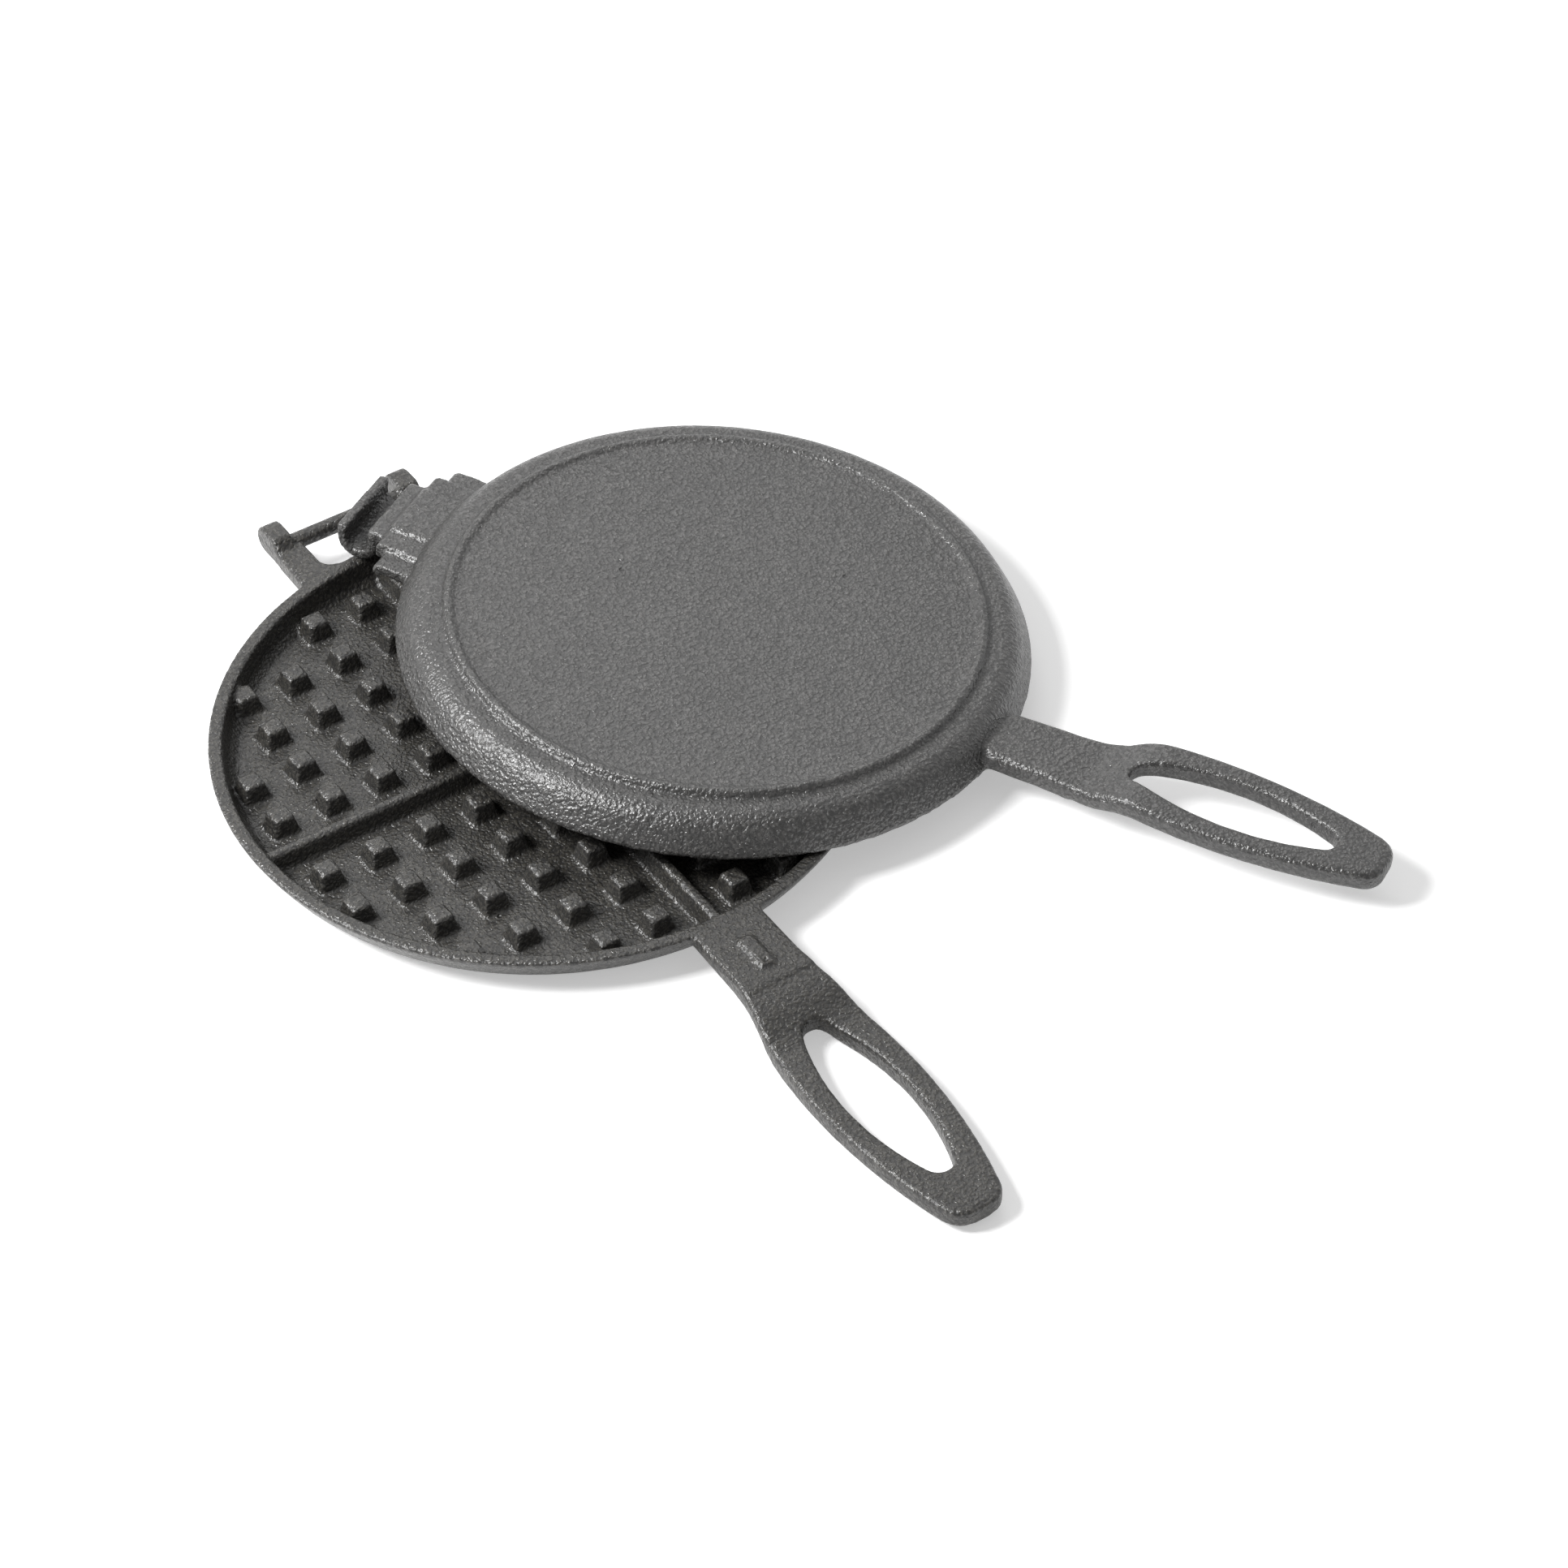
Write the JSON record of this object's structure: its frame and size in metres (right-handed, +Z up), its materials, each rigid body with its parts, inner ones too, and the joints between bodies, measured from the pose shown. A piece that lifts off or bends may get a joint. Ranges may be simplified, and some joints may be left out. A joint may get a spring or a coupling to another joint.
{
  "type": "stovetop waffle iron",
  "caption": "Round cast-iron stovetop waffle iron: studded plates with cranked, holed handles and a lift-off hook-and-bar hinge, the top plate lying askew on the bottom one.",
  "frame": {"origin": "middle of the bottom plate's heat ring, on the plane that the ring stands on", "axes": "+X along the bottom plate's handle, +Z up, +Y across to the side that the top plate is shifted to"},
  "size_m": [0.3416, 0.2694, 0.0348],
  "materials": {
    "cast_iron": "pre-seasoned, satin, with the fine grain of a sand casting"
  },
  "bodies": {
    "base": {"bottom_plate": "cast_iron"},
    "lid": {"top_plate": "cast_iron"}
  },
  "joints": [
    {"name": "lid_hinge", "type": "hinge", "parent": "base", "child": "lid", "pos_m": [-0.09966, 0.00413, 0.02137], "axis": [0.5006, -0.8649, 0.036], "range_deg": [0, 105]}
  ]
}
